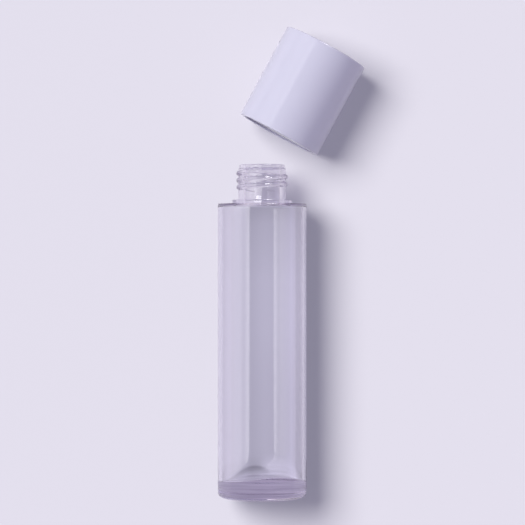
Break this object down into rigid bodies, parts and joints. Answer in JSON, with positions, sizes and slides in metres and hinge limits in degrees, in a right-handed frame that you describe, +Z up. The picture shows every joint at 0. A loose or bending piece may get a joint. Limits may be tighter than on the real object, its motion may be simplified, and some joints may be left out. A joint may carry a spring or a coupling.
{
  "type": "cosmetic bottle",
  "caption": "Cylindrical thick-based clear glass toiletry bottle with a screw neck, lying on its side, its glossy screw cap taken off beside the open mouth.",
  "frame": {"origin": "on the plane that the bottle and the cap lie on, under the middle of the box round both", "axes": "+Z up from the plane they lie on; +Y along the bottle's axis from its base to its mouth; +X to the side on which the cap lies"},
  "size_m": [0.0668, 0.2144, 0.0405],
  "materials": {
    "clear_glass": "clear, polished, with a faint lilac tint in the thick base",
    "glossy_lavender": "glossy, pale lavender",
    "natural_plastic": "satin, natural white",
    "white_foam": "matt, fine closed-cell foam"
  },
  "bodies": {
    "bottle": {"bottle": "clear_glass"},
    "liner": {"cap_liner": "white_foam"},
    "cap": {"cap_shell": "glossy_lavender", "cap_insert": "natural_plastic"}
  },
  "joints": [
    {"name": "cap_pull", "type": "slide", "parent": "bottle", "child": "liner", "axis": [0.4756, 0.8796, 0], "range_m": [-0.008, 0.06]},
    {"name": "cap_turn", "type": "hinge", "parent": "liner", "child": "cap", "pos_m": [-0.00551, 0.05817, 0.02], "axis": [0.4756, 0.8796, 0], "continuous": true}
  ]
}
